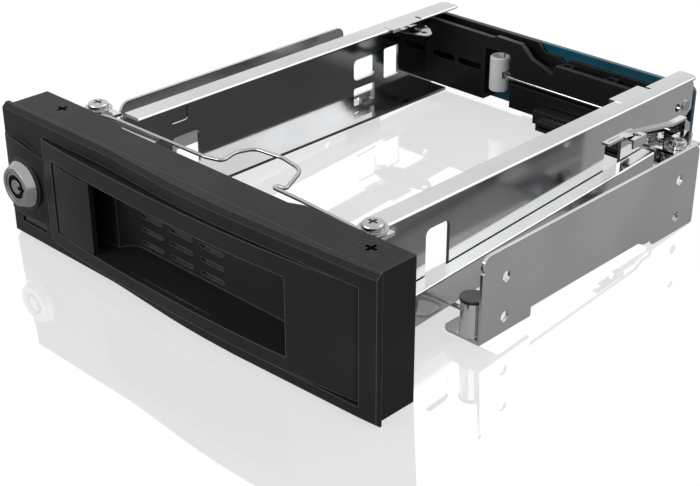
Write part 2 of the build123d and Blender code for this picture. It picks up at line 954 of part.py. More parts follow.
def rail_right():
    rail = rail_blank()
    rail -= wall_window(39.6, 49.0, 12.0, 30.3, 2.0)
    rail -= wall_window(118.0, 126.5, 12.0, 29.9, 1.8)
    raised, slit = flange_emboss()
    rail = rail + raised - slit
    rail -= rod_passage()
    rail += slanted_lip() + hook_tab() + pivot_tab()
    return rail


def rod_passage():
    # Opening in the right wall that the lever's rod swings in
    slot = Polygon((137.0, 26.2), (137.0, 28.0), (152.7, 24.8), (152.7, 23.0), align=None)
    hole = rect(149.6, rod_window_back, lever_low - 0.1, 24.8)
    return along_x(slot, rail_inner, rail_outer) + along_x(hole, rail_inner, rail_outer)


def slanted_lip():
    # Stiffening lip bent outwards above the passage
    lip = Polygon(
        (118.0, 29.0), (128.0, 29.0), (137.0, 27.6), (152.7, 24.8), (160.0, 24.8),
        (160.0, 25.6), (152.8, 25.6), (137.2, 28.4), (128.2, 29.8), (118.0, 29.8),
        align=None,
    )
    return along_x(lip, rail_outer - 0.2, rail_outer + lip_reach)


def hook_tab():
    end = rail_outer + hook_tab_reach
    tab = block(rail_outer - 0.2, end, 128.4, 135.2, 27.7, 28.3)
    hole = rod_z(rail_outer + 1.7, 132.4, 27.7, 28.3, 0.9)
    curl = block(end - 0.6, end, 128.4, 135.2, 25.4, 27.8)
    return tab + curl - hole


def pivot_tab():
    top = pivot_tab_low + sheet
    outer = rail_outer + pivot_tab_reach
    outline = rounded_polygon(
        [
            (rail_outer - 0.2, pivot_tab_front),
            (outer, pivot_tab_front),
            (outer, pivot_tab_back),
            (rail_outer - 0.2, pivot_tab_back),
        ],
        {(outer, pivot_tab_front): 3.0, (outer, pivot_tab_back): 3.0},
    )
    tab = along_z(outline, pivot_tab_low, top)
    tab -= rod_z(pivot_x, pivot_y, pivot_tab_low, top, pivot_screw_radius + 0.02)
    reach = lever_pin_radius + 0.35
    slot = rect(
        lever_pin_x - reach, lever_pin_x + reach + 0.3, pivot_y - lever_pin_travel - reach,
        pivot_y + reach,
    )
    return tab - along_z(slot, pivot_tab_low, top)


def rail_left():
    rail = rail_blank()
    rail -= wall_window(40.7, 51.4, 12.0, 23.9, 1.6)
    rail -= wall_window(119.9, 130.0, 11.0, 17.2, 0.6)
    rail -= wall_window(119.9, 130.0, 20.0, 27.4, 1.8)
    rail -= wall_window(134.7, 142.0, 17.0, 27.8, 0.8)
    raised, slit = flange_emboss()
    rail = rail + raised - slit
    pad = Pos((40.6 + 47.3) / 2, (28.5 + 35.0) / 2) * RectangleRounded(47.3 - 40.6, 35.0 - 28.5, 1.0)
    rail -= along_x(pad, rail_inner, rail_inner + wall_emboss_depth)
    for y in hold_down_rivet_places():
        rail -= rod_x(rail_inner, rail_outer, y, hold_down_rivet_z(), hold_down_rivet_radius + 0.02)
    return mirrored(rail)


def hold_down_spring():
    # Thin leaf under the left flange that presses on the disk's top
    low = hold_down_height
    leaf = rounded_polygon(
        [
            (-rail_inner, hold_down_front),
            (-rail_inner, hold_down_back),
            (-hold_down_tip - 4.0, hold_down_back - 2.6),
            (-hold_down_tip, hold_down_back - 6.0),
            (-hold_down_tip, hold_down_front + 4.2),
        ],
        {
            (-hold_down_tip - 4.0, hold_down_back - 2.6): 2.0,
            (-hold_down_tip, hold_down_back - 6.0): 2.0,
            (-hold_down_tip, hold_down_front + 4.2): 1.6,
        },
    )
    spring = along_z(leaf, low, low + hold_down_sheet)
    root = block(
        -rail_inner, -rail_inner + hold_down_sheet, hold_down_front, hold_down_back, low,
        rail_top - sheet,
    )
    spring += root
    spring -= rod_z(-hold_down_tip - 3.0, hold_down_front + 6.4, low, low + hold_down_sheet, 1.0)
    for y in hold_down_rivet_places():
        spring -= rod_x(
            -rail_inner, -rail_inner + hold_down_sheet, y, hold_down_rivet_z(),
            hold_down_rivet_radius + 0.02,
        )
    return spring


def hold_down_rivet_places():
    return [hold_down_front + 3.0, hold_down_back - 3.0]


def hold_down_rivet_z():
    return (hold_down_height + hold_down_sheet + rail_top - sheet) / 2


def hold_down_rivets():
    rivets = []
    for y in hold_down_rivet_places():
        inner = -rail_inner + hold_down_sheet
        shank = rod_x(-rail_outer, inner, y, hold_down_rivet_z(), hold_down_rivet_radius)
        head = rod_x(inner, inner + 0.4, y, hold_down_rivet_z(), hold_down_rivet_radius + 0.2)
        rivets.append(shank + head)
    return group(rivets)


# Outer side plates with their feet

def bay_holes():
    return [
        (y, z)
        for y in (bay_hole_front, bay_hole_front + bay_hole_pitch)
        for z in (bay_hole_low, bay_hole_low + bay_hole_rise)
    ]


def side_plate():
    outline = rounded_polygon(
        [
            (plate_front, plate_bottom),
            (plate_step_front, plate_bottom),
            (plate_step_front, plate_belly),
            (plate_step_back, plate_belly),
            (plate_step_back + 3.0, plate_belly - 1.4),
            (plate_tail_front - 0.6, plate_belly - 1.4),
            (plate_tail_front, plate_bottom),
            (plate_back, plate_bottom),
            (plate_back, plate_top),
            (plate_front, plate_top),
        ],
        {(plate_front, plate_top): 3.4, (plate_back, plate_top): 3.0, (plate_back, plate_bottom): 0.8},
    )
    notch = rect(plate_front, plate_front + 0.7, plate_top - 4.6, plate_top - 3.6)
    plate = along_x(outline - notch, plate_inner, plate_outer)
    foot = rounded_polygon(
        [
            (plate_outer - foot_reach, plate_front),
            (plate_outer, plate_front),
            (plate_outer, plate_front + foot_depth),
            (plate_outer - foot_reach, plate_front + foot_depth),
        ],
        {
            (plate_outer - foot_reach, plate_front): 2.4,
            (plate_outer - foot_reach, plate_front + foot_depth): 2.4,
        },
    )
    plate += along_z(foot, plate_bottom, plate_bottom + sheet)
    long_edges = [
        e for e in plate.edges().filter_by(Axis.Y)
        if e.center().X > plate_outer - 0.01
        and e.center().Z < plate_bottom + 0.01
        and e.center().Y < plate_step_front
    ]
    plate = fillet(long_edges, sheet * 0.7)
    for y, z in bay_holes():
        plate -= rod_x(plate_inner, plate_outer, y, z, bay_hole_radius)
    for y in tie_rivet_places():
        plate -= rod_x(plate_inner, plate_outer - rivet_skin, y, tie_rivet_z(), rivet_radius + 0.02)
    return plate


def guide_post():
    post = rod_z(post_x, post_y, plate_bottom + sheet, post_top, post_radius)
    return post - rod_z(post_x, post_y, post_top - 3, post_top, 1.5)


def post_cap():
    cap = rod_z(post_x, post_y, post_top, post_top + post_cap_height, post_radius + post_cap_margin)
    return cap + rod_z(post_x, post_y, post_top - 2.8, post_top, 1.45)


def guide_pin():
    return rod_x(rail_outer, plate_inner, guide_pin_y, guide_pin_z, guide_pin_radius)


def tie_rivet_places():
    return [tie_front + 4.0, tie_back - 11.0]


def tie_rivet_z():
    return plate_bottom + 6.4


def tie_bracket():
    web = block(rail_outer, plate_inner, tie_front, tie_back, plate_bottom, plate_bottom + sheet)
    inner = block(rail_outer, rail_outer + sheet, tie_front, tie_back, plate_bottom, tie_height)
    outer = block(plate_inner - sheet, plate_inner, tie_front, tie_back, plate_bottom, tie_height)
    bracket = web + inner + outer
    for y in tie_rivet_places():
        bracket -= rod_x(rail_outer, plate_inner, y, tie_rivet_z(), rivet_radius + 0.02)
    for y, z in bay_holes():
        bracket -= rod_x(plate_inner - sheet, plate_inner, y, z, bay_hole_radius + 0.6)
    return bracket


def tie_rivets():
    rivets = []
    for y in tie_rivet_places():
        z = tie_rivet_z()
        low = plate_inner - sheet
        shank = rod_x(low - 0.1, plate_outer - rivet_skin, y, z, rivet_radius)
        head = rod_x(low - rivet_head_height, low, y, z, rivet_head_radius)
        rivets.append(shank + head)
    return group(rivets + [mirrored(rivet) for rivet in rivets])


# Ejector arm on the right

def arm_strip(front_height, back_height, x0, x1):
    strip = Polygon(
        (arm_front, front_height - arm_sheet),
        (arm_back, back_height - arm_sheet),
        (arm_back, back_height),
        (arm_front, front_height),
        align=None,
    )
    return along_x(strip, x0, x1)


def ejector_arm():
    web = Polygon(
        (arm_front, arm_front_bottom),
        (arm_back, arm_back_bottom),
        (arm_back, arm_back_top),
        (arm_front, arm_front_top),
        align=None,
    )
    arm = along_x(web, arm_outer - arm_sheet, arm_outer)
    arm += arm_strip(arm_front_top, arm_back_top, arm_inner, arm_outer)
    lower = arm_strip(arm_front_bottom + arm_sheet, arm_back_bottom + arm_sheet, arm_lower_lip, arm_outer)
    arm += lower
    arm = fillet([e for e in arm.edges() if e.length > 100 and e.center().X > arm_outer - 0.01], arm_bend)
    return arm + yoke() + rear_tongue()


def yoke():
    pin_y = hinge_y + crank_y
    swing = hypot(crank_x, crank_y)
    half = crank_pin_radius + yoke_slack
    slot_left = hinge_x - swing - crank_pin_radius - yoke_side_slack
    plate = block(
        slot_left - 0.9, fork_right, pin_y - half - 1.4, arm_front + 8, yoke_low,
        yoke_low + yoke_thickness,
    )
    return plate - block(
        slot_left, fork_right + 1, pin_y - half, pin_y + half, yoke_low, yoke_low + yoke_thickness,
    )


def rear_tongue():
    reach = lever_pin_radius + lever_slot_slack
    slot_back = pivot_y + arm_travel - lever_pin_travel + reach
    plate = block(
        arm_inner, arm_outer, tongue_front, slot_back + 1.4, tongue_low,
        tongue_low + tongue_thickness,
    )
    slot = rect(lever_pin_x - reach + 0.25, lever_pin_x + reach + 0.3, pivot_y - reach, slot_back)
    return plate - along_z(slot, tongue_low, tongue_low + tongue_thickness)


# Ejector lever with its rod, and the roller that pushes the disk out

def ejector_lever():
    top = lever_low + lever_thickness
    hub = rod_z(pivot_x, pivot_y, lever_low, top, lever_hub_radius)
    ear = rod_z(lever_pin_x, pivot_y, lever_low, top, lever_pin_radius + 0.4)
    reach_x = rail_inner - 2.4
    link = Polygon(
        (pivot_x - 1.6, pivot_y + 2.6),
        (pivot_x + 2.2, pivot_y + 2.2),
        (pivot_x - 1.0, rod_y_outer()),
        (reach_x, rod_y_outer()),
        (reach_x, rod_y_outer() - 1.6),
        (rail_outer + 0.6, rod_y_outer() - 1.9),
        align=None,
    )
    lever = hub + ear + along_z(link, lever_low, top)
    lever += rod_x(
        roller_x + roller_bore_radius - 0.8, rail_outer - 2.0, lever_rod_y, lever_rod_z,
        rod_radius,
    )
    pin_radius = roller_bore_radius - roller_pin_clearance
    lever += rod_z(
        roller_x, lever_rod_y, roller_bottom + 1.0, roller_bottom + roller_height - 1.6,
        pin_radius,
    )
    lever += fork()
    lever -= rod_z(pivot_x, pivot_y, lever_low, top, pivot_screw_radius + pin_clearance)
    return lever - rod_z(lever_pin_x, pivot_y, lever_low, top, lever_pin_radius + 0.01)


def rod_y_outer():
    return lever_rod_y + rod_radius


def fork():
    # Flattened end of the rod that holds the roller at its window
    height = roller_window - 0.4
    low = roller_bottom + roller_height / 2 - height / 2
    return block(
        roller_x + 1.0, roller_x + roller_radius + 1.6, lever_rod_y - 0.6, lever_rod_y + 0.6, low,
        low + height,
    )


def lever_crank_pin():
    top = lever_low + lever_thickness
    return rod_z(lever_pin_x, pivot_y, tongue_low - 0.6, top, lever_pin_radius)


def lever_pivot_screw():
    top = lever_low + lever_thickness + 0.05
    head = rod_z(pivot_x, pivot_y, top, top + pivot_head_height, pivot_head_radius)
    head = fillet(head.edges().sort_by(Axis.Z)[-1], pivot_head_height * 0.55)
    shank = rod_z(pivot_x, pivot_y, pivot_tab_low - 1.2, top, pivot_screw_radius)
    return head + shank - cross_recess(pivot_x, pivot_y, top + pivot_head_height, 2.8, 0.7, 0.8)


def ejector_roller():
    top = roller_bottom + roller_height
    tube = rod_z(roller_x, lever_rod_y, roller_bottom, top, roller_radius)
    tube = chamfer(tube.edges().filter_by(GeomType.CIRCLE), 0.4)
    tube -= rod_z(roller_x, lever_rod_y, roller_bottom, top, roller_bore_radius)
    middle = roller_bottom + roller_height / 2
    spread = roller_radius + 1
    half = radians(roller_swivel + roller_window_margin) + asin(rod_radius / roller_bore_radius)
    wedge = Polygon(
        (roller_x, lever_rod_y),
        (roller_x + spread, lever_rod_y - spread * sin(half) / cos(half)),
        (roller_x + spread, lever_rod_y + spread * sin(half) / cos(half)),
        align=None,
    )
    tube -= along_z(wedge, middle - roller_window / 2, middle + roller_window / 2)
    return tube - block(
        roller_x - 0.4, roller_x + 0.4, lever_rod_y + 1, lever_rod_y + 5, roller_bottom, top,
    )


# Rear panel, board, sockets and their screws

def panel_front_edge():
    return [
        (-rail_inner, panel_left_top),
        (-22.5, panel_left_top - 0.3),
        (-21.0, panel_left_top + 0.5),
        (-10.5, panel_left_top + 0.2),
        (-6.0, panel_right_top - 0.3),
        (0.0, panel_dip),
        (3.0, panel_dip - 1.2),
        (4.0, panel_right_top),
        (rail_inner, panel_right_top - 0.3),
    ]


def panel_rear_edge():
    return [
        (-rail_inner, panel_left_top + 0.6),
        (-7.4, panel_left_top + 0.4),
        (-4.5, panel_right_top + 1.0),
        (1.3, panel_right_top + 0.8),
        (3.9, panel_right_top - 0.9),
        (5.6, panel_right_top + 1.0),
        (rail_inner, panel_right_top + 1.0),
    ]


def panel_wall(edge, y0, y1):
    outline = Polygon((rail_inner, panel_bottom), (-rail_inner, panel_bottom), *edge, align=None)
    return along_y(outline, y0, y1)


def rear_panel():
    panel = panel_wall(panel_front_edge(), panel_front, panel_front + panel_front_wall)
    panel += panel_wall(panel_rear_edge(), board_front - panel_rear_wall, board_front)
    panel += block(-rail_inner, rail_inner, panel_front, board_front, panel_bottom, panel_floor)
    for side in (-1, 1):
        low, high = sorted((side * 46.0, side * rail_inner))
        panel += block(low, high, panel_front, board_front, panel_floor - 0.1, panel_screw_z + 2.0)
    for x in (5.9, 23.4):
        panel += rod_z(x, panel_front + 3.9, panel_floor - 0.1, panel_right_top - 0.6, 2.4)
    for x in (5.9, 23.4):
        panel -= rod_z(x, panel_front + 3.9, panel_floor - 2, panel_right_top - 0.6, 1.3)
    notch_half = roller_radius + roller_notch_clearance
    notch_high = roller_bottom + roller_height + roller_notch_headroom
    panel -= block(
        roller_x - notch_half, roller_x + notch_half, panel_front, board_front, panel_bottom,
        notch_high,
    )
    groove_half = rod_radius + 0.6
    panel -= block(
        roller_x, rail_inner, panel_front, panel_front + rod_groove_depth,
        lever_rod_z - groove_half, lever_rod_z + groove_half,
    )
    for left, right in ((-49.5, -39.5), (-37.5, -27.3)):
        panel -= block(
            left, right, panel_front, board_front, panel_slot_low,
            panel_slot_low + panel_slot_height,
        )
    window_top = socket_bottom + socket_height + 0.3
    panel -= block(
        socket_left - 0.3, socket_left + socket_width + 0.3, panel_front, board_front,
        panel_bottom, window_top,
    )
    for x, z in board_screw_places():
        panel -= rod_y(x, board_front - 4, board_front, z, board_screw_radius)
    for side in (-1, 1):
        low, high = sorted((side * (rail_inner - 5.0), side * rail_inner))
        panel -= rod_x(low, high, panel_screw_y, panel_screw_z, 1.22)
    return panel


def board_screw_places():
    low_screw_x = socket_left + socket_width + low_screw_margin
    return [
        (-board_screw_x, board_screw_z), (board_screw_x, board_screw_z), (-board_screw_x, 13.0),
        (low_screw_x, 13.0),
    ]


def backplane_board():
    middle = (board_bottom + board_top) / 2
    outline = Pos(0, middle) * RectangleRounded(
        2 * board_half_width, board_top - board_bottom, board_corner,
    )
    board = along_y(outline, board_front, board_back)
    for x, z in board_screw_places():
        board -= rod_y(x, board_front, board_back, z, board_screw_radius + 0.1)
    return board


def board_screws():
    screws = []
    for x, z in board_screw_places():
        head = rod_y(x, board_back, board_back + board_screw_head_height, z, board_screw_head_radius)
        screws.append(head + rod_y(x, board_front - 3.5, board_back, z, board_screw_radius - 0.01))
    return group(screws)


def panel_screws():
    screws = []
    for side in (-1, 1):
        inner, outer = sorted((side * (rail_outer - sheet - 4.5), side * rail_outer))
        shank = rod_x(inner, outer, panel_screw_y, panel_screw_z, 1.2)
        low, high = sorted((side * rail_outer, side * (rail_outer + panel_screw_head_height)))
        screws.append(shank + rod_x(low, high, panel_screw_y, panel_screw_z, panel_screw_head_radius))
    return group(screws)


def drive_socket():
    right = socket_left + socket_width
    front = panel_front - socket_reach
    top = socket_bottom + socket_height
    body = block(socket_left, right, front + 2.5, board_front, socket_bottom + 0.9, top)
    body += block(socket_left + 3.2, right - 3.2, front, board_front, socket_bottom, top - 2.2)
    body -= block(
        socket_left + 4.4, right - 4.4, front, board_front - 3, socket_bottom + 1.0,
        socket_bottom + 1.9,
    )
    body -= block(socket_left + 5.6, right - 5.6, front + 2.5, board_front - 3, top - 1.7, top - 0.9)
    return body


def host_socket(x0, width):
    x1 = x0 + width
    top = host_socket_bottom + host_socket_height
    shell = block(x0, x1, board_back, board_back + host_socket_depth, host_socket_bottom, top)
    shell -= block(
        x0 + 1.2, x1 - 1.2, board_back + 1.2, board_back + host_socket_depth,
        host_socket_bottom + 1.2, top - 1.2,
    )
    blade = block(
        x0 + 2.6, x1 - 2.6, board_back + 1.1, board_back + host_socket_depth - 0.6,
        host_socket_bottom + 2.5, top - 2.5,
    )
    return shell + blade


nodes = {
    "bezel_frame": bezel_frame(),
    "bezel_screws": bezel_screws(),
    "light_window": light_window(),
    "light_board": light_board(),
    "lock_gasket": lock_gasket(),
    "lock_housing": lock_housing(),
    "lock_nut": lock_nut(),
    "lock_plug": lock_plug(),
    "lock_cam": lock_cam(),
    "cam_screw": cam_screw(),
    "door_shell": door_shell(),
    "lock_strike": lock_strike(),
    "door_hinge_pin": door_hinge_pin(),
    "door_crank_pin": door_crank_pin(),
    "latch_flap": latch_flap(),
    "latch_pin": latch_pin(),
    "latch_spring": latch_spring(),
    "front_sheet": front_sheet(),
    "clamp_screws": clamp_screws(),
    "clamp_washers": clamp_washers(),
    "loop_spring": loop_spring(),
    "rail_right": rail_right(),
    "rail_left": rail_left(),
    "hold_down_spring": hold_down_spring(),
    "hold_down_rivets": hold_down_rivets(),
    "side_plate_right": side_plate(),
    "side_plate_left": mirrored(side_plate()),
    "guide_post_right": guide_post(),
    "guide_post_left": mirrored(guide_post()),
    "post_caps": group([post_cap(), mirrored(post_cap())]),
    "guide_pins": group([guide_pin(), mirrored(guide_pin())]),
    "tie_bracket_right": tie_bracket(),
    "tie_bracket_left": mirrored(tie_bracket()),
    "tie_rivets": tie_rivets(),
    "ejector_arm": ejector_arm(),
    "ejector_lever": ejector_lever(),
    "lever_crank_pin": lever_crank_pin(),
    "lever_pivot_screw": lever_pivot_screw(),
    "ejector_roller": ejector_roller(),
    "rear_panel": rear_panel(),
    "backplane_board": backplane_board(),
    "board_screws": board_screws(),
    "panel_screws": panel_screws(),
    "drive_socket": drive_socket(),
    "host_data_socket": host_socket(data_socket_left, data_socket_width),
    "host_power_socket": host_socket(power_socket_left, power_socket_width),
}

for name, shape in nodes.items():
    export_step(Pos(0, -middle_y, 0) * shape, f"parts/{name}.step")
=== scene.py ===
import json
from math import cos, radians, sin

import bmesh
import bpy
from mathutils import Matrix, Vector

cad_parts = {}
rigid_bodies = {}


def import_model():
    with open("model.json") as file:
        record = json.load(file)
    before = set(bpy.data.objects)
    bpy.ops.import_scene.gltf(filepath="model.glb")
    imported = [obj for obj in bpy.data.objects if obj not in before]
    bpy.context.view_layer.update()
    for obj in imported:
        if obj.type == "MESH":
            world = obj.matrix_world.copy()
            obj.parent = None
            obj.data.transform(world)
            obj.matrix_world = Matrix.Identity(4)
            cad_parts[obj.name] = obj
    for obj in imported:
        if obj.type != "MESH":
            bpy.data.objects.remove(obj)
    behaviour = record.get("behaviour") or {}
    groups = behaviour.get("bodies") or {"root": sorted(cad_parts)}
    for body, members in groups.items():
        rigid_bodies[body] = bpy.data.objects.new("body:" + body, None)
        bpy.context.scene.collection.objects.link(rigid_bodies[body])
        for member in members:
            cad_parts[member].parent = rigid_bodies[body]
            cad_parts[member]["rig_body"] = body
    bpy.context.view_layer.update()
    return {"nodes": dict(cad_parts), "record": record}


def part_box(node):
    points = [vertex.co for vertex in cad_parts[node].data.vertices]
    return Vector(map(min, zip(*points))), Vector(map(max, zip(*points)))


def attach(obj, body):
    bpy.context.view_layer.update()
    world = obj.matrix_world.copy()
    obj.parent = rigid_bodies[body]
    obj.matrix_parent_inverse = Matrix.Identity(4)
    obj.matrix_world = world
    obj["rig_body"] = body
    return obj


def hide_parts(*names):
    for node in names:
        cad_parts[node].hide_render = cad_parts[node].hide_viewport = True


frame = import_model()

scene = bpy.context.scene
scene.view_settings.view_transform = "Standard"


# Camera. It stands where the photographer's stood, to the front right and above. Its place was
# worked out from the bay's side holes, the width of the bezel and the edges of the side plates.

azimuth, elevation, roll = radians(-44.2657), radians(27.8269), radians(-0.0755)
camera_place = (0.269306, -0.293556, 0.201444)
film_width = 36.0
focal_length = 74.71
nearest_seen = 0.01
forward = Vector((sin(azimuth) * cos(elevation), cos(azimuth) * cos(elevation), -sin(elevation)))
level = Vector((cos(azimuth), -sin(azimuth), 0.0))
upright = level.cross(forward)
across = level * cos(roll) + upright * sin(roll)
upward = upright * cos(roll) - level * sin(roll)
camera_data = bpy.data.cameras.new("camera")
camera_data.sensor_width = film_width
camera_data.lens = focal_length
camera_data.clip_start = nearest_seen
camera = bpy.data.objects.new("camera", camera_data)
turn = Matrix((across, upward, -forward)).transposed()
camera.matrix_world = Matrix.Translation(camera_place) @ turn.to_4x4()
scene.collection.objects.link(camera)
scene.camera = camera


# Floor and light. The cage stands on a white photographer's table, on the lower edge of its bezel
# and on its two rear feet, which end 5 mm higher, so the table leans by two degrees. A wide lamp
# behind at the right lights the folded edges, and a lower one in front lights the bezel.

class Value:
    """A socket of a node tree, so that shader maths reads as plain expressions."""

    def __init__(self, finish, socket):
        self.finish, self.socket = finish, socket

    def maths(self, operation, first, second):
        return self.finish.node("ShaderNodeMath", {"operation": operation}, {0: first, 1: second})

    def __add__(self, other):
        return self.maths("ADD", self, other)

    def __mul__(self, other):
        return self.maths("MULTIPLY", self, other)

    __radd__ = __add__
    __rmul__ = __mul__


class Finish:
    """A node tree that is being written, on a material or on the world."""

    def __init__(self, owner):
        self.owner = owner
        owner.use_nodes = True
        self.tree = owner.node_tree

    def node(self, kind, settings=None, inputs=None, output=0):
        made = self.tree.nodes.new(kind)
        for name, value in (settings or {}).items():
            setattr(made, name, value)
        self.feed(made, inputs or {})
        return Value(self, made.outputs[output])

    def feed(self, made, inputs):
        for name, value in inputs.items():
            socket = made.inputs[name]
            if isinstance(value, Value):
                self.tree.links.new(value.socket, socket)
            elif isinstance(value, tuple) and len(value) == 3 and socket.type == "RGBA":
                socket.default_value = (*value, 1.0)
            else:
                socket.default_value = value

    def place(self, stretch=(1.0, 1.0, 1.0)):
        here = self.node("ShaderNodeTexCoord", output="Object")
        return self.node("ShaderNodeMapping", inputs={"Vector": here, "Scale": stretch})

    def noise(self, scale, detail=2.0, stretch=(1.0, 1.0, 1.0), roughness=0.5):
        inputs = {"Scale": scale, "Detail": detail, "Roughness": roughness}
        return self.node("ShaderNodeTexNoise", inputs={"Vector": self.place(stretch), **inputs})

    def between(self, mask, low, high):
        inputs = {"Value": mask, "From Min": low, "From Max": high}
        return self.node("ShaderNodeMapRange", inputs=inputs)

    def mix(self, mask, first, second):
        # Inputs 6 and 7 are the node's two colours, and its output 2 is the mixed one.
        inputs = {0: mask, 6: first, 7: second}
        return self.node("ShaderNodeMix", {"data_type": "RGBA"}, inputs, output=2)

    def bump(self, height, strength, distance):
        inputs = {"Height": height, "Strength": strength, "Distance": distance}
        return self.node("ShaderNodeBump", inputs=inputs)

    def surface(self, **sockets):
        shader = self.tree.nodes["Principled BSDF"]
        self.feed(shader, {name.replace("_", " "): value for name, value in sockets.items()})
        return self.owner


table_reach = 3.0
bezel_edge_y = -0.0825
rear_foot_y = 0.0535
rear_foot_z = 0.005
table_drop = 0.0001
lean = rear_foot_z / (rear_foot_y - bezel_edge_y)
table_points = [
    (x * table_reach, y * table_reach, (y * table_reach - bezel_edge_y) * lean - table_drop)
    for x, y in ((-1, -1), (1, -1), (1, 1), (-1, 1))
]
table_mesh = bpy.data.meshes.new("table")
table_mesh.from_pydata(table_points, [], [(0, 1, 2, 3)])
table = bpy.data.objects.new("table", table_mesh)
scene.collection.objects.link(table)

white = (1.0, 1.0, 1.0)
table_grey = (0.22, 0.22, 0.222)
seen_glow, mirrored_glow, through_glow = 0.88, 0.3, 0.7
polish_share = 0.26
tabletop = Finish(bpy.data.materials.new("white_table"))
tabletop.tree.nodes.remove(tabletop.tree.nodes["Principled BSDF"])
seen = tabletop.node("ShaderNodeLightPath", output="Is Camera Ray")
mirrored_ray = tabletop.node("ShaderNodeLightPath", output="Is Glossy Ray")
through_ray = tabletop.node("ShaderNodeLightPath", output="Is Transmission Ray")
glow_level = seen * seen_glow + mirrored_ray * mirrored_glow + through_ray * through_glow
matt = tabletop.node("ShaderNodeBsdfDiffuse", inputs={"Color": table_grey})
glow = tabletop.node("ShaderNodeEmission", inputs={"Color": white, "Strength": glow_level})
lit = tabletop.node("ShaderNodeAddShader", inputs={0: matt, 1: glow})
polish = tabletop.node("ShaderNodeBsdfGlossy", inputs={"Color": white, "Roughness": 0.03})
polished = tabletop.node("ShaderNodeMixShader", inputs={0: seen * polish_share, 1: lit, 2: polish})

# The metal mirrors a dark floor between the rails, so for reflections alone the table there gets a
# painted shade, a darker patch with soft edges.
rail_inside = 0.05
panel_y, sheet_y = 0.08, -0.075
rail_blur, panel_blur, sheet_blur = 0.003, 0.01, 0.005
shade_glow = 0.07
on_table = tabletop.place()
table_x = tabletop.node("ShaderNodeSeparateXYZ", inputs={0: on_table}, output=0)
table_y = tabletop.node("ShaderNodeSeparateXYZ", inputs={0: on_table}, output=1)
left_of_right_rail = tabletop.between(table_x, rail_inside + rail_blur, rail_inside - rail_blur)
right_of_left_rail = tabletop.between(table_x, -rail_inside - rail_blur, rail_blur - rail_inside)
before_panel = tabletop.between(table_y, panel_y + panel_blur, panel_y - panel_blur)
behind_sheet = tabletop.between(table_y, sheet_y - sheet_blur, sheet_y + sheet_blur)
painted_shade_area = left_of_right_rail * right_of_left_rail * before_panel * behind_sheet
shade = tabletop.node("ShaderNodeEmission", inputs={"Color": white, "Strength": shade_glow})
shading = {0: painted_shade_area * mirrored_ray, 1: polished, 2: shade}
shaded = tabletop.node("ShaderNodeMixShader", inputs=shading)
tabletop.tree.links.new(shaded.socket, tabletop.tree.nodes["Material Output"].inputs["Surface"])
table_mesh.materials.append(tabletop.owner)

world = Finish(bpy.data.worlds.new("studio"))
scene.world = world.owner
backdrop_ray = world.node("ShaderNodeLightPath", output="Is Camera Ray")
reflected_ray = world.node("ShaderNodeLightPath", output="Is Glossy Ray")
room_light, backdrop_gain, reflected_gain = 0.5, 0.5, 0.55
backdrop_level = backdrop_ray * backdrop_gain + reflected_ray * reflected_gain + room_light
world.feed(world.tree.nodes["Background"], {"Color": white, "Strength": backdrop_level})


def soft_light(name, place, aim, width, height, power):
    lamp = bpy.data.lights.new(name, "AREA")
    lamp.shape = "RECTANGLE"
    lamp.size, lamp.size_y, lamp.energy = width, height, power
    made = bpy.data.objects.new(name, lamp)
    made.location = place
    made.rotation_euler = (Vector(aim) - Vector(place)).to_track_quat("-Z", "Y").to_euler()
    scene.collection.objects.link(made)


cage_middle, bezel_middle = (0.0, 0.0, 0.02), (0.0, -0.05, 0.02)
soft_light("key_light", (0.56, 0.76, 0.74), cage_middle, width=1.0, height=1.0, power=3.0)
soft_light("front_light", (-0.35, -1.2, 0.5), bezel_middle, width=1.0, height=0.7, power=8.0)


# Bezel. One moulding of black ABS with a fine spark-eroded grain, so its faces are satin. Its edges,
# rounded by a few tenths, carry a painted highlight in a lighter colour. It is screwed to the front
# sheet.

weld_distance = 1e-6
flat_enough = radians(0.8)
slot_of = {part["node"]: part["material_slot"] for part in frame["record"]["subparts"]}


def settle(piece, body, slot, *nodes):
    """Gives a finished piece its body, and hides the CAD nodes that it stands for. The slot is not
    used.
    """
    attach(piece, body)
    if nodes:
        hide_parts(*nodes)
    return piece


def dress(name, finish, edge, segments=2, sharp=30.0):
    """Stands a merged copy of a CAD node, with its sharp edges rounded, in the node's place."""
    node = frame["nodes"][name]
    mesh = node.data.copy()
    mesh.name = name + "_finished"
    # The loose triangles' own normals and sharp marks would crease the rounded edges.
    for extra in ("custom_normal", "sharp_face", "sharp_edge"):
        if extra in mesh.attributes:
            mesh.attributes.remove(mesh.attributes[extra])
    form = bmesh.new()
    form.from_mesh(mesh)
    bmesh.ops.remove_doubles(form, verts=form.verts, dist=weld_distance)
    bmesh.ops.dissolve_limit(form, angle_limit=flat_enough, verts=form.verts, edges=form.edges)
    form.to_mesh(mesh)
    form.free()
    mesh.polygons.foreach_set("use_smooth", [True] * len(mesh.polygons))
    mesh.set_sharp_from_angle(angle=radians(sharp))
    mesh.materials.clear()
    mesh.materials.append(finish)
    piece = bpy.data.objects.new(name + "_finished", mesh)
    scene.collection.objects.link(piece)
    if edge:
        rounding = piece.modifiers.new("rounded_edges", "BEVEL")
        rounding.width = edge
        rounding.segments = segments
        rounding.limit_method = "ANGLE"
        rounding.angle_limit = radians(sharp)
        rounding.harden_normals = True
    return settle(piece, node["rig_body"], slot_of[name], name)


cloud_low, cloud_high = 0.3, 0.7
# How far the painted edge highlight reaches, and the facings where it begins and where it is full.
highlight_reach = 0.0005
highlight_start, highlight_full = 0.99, 0.86


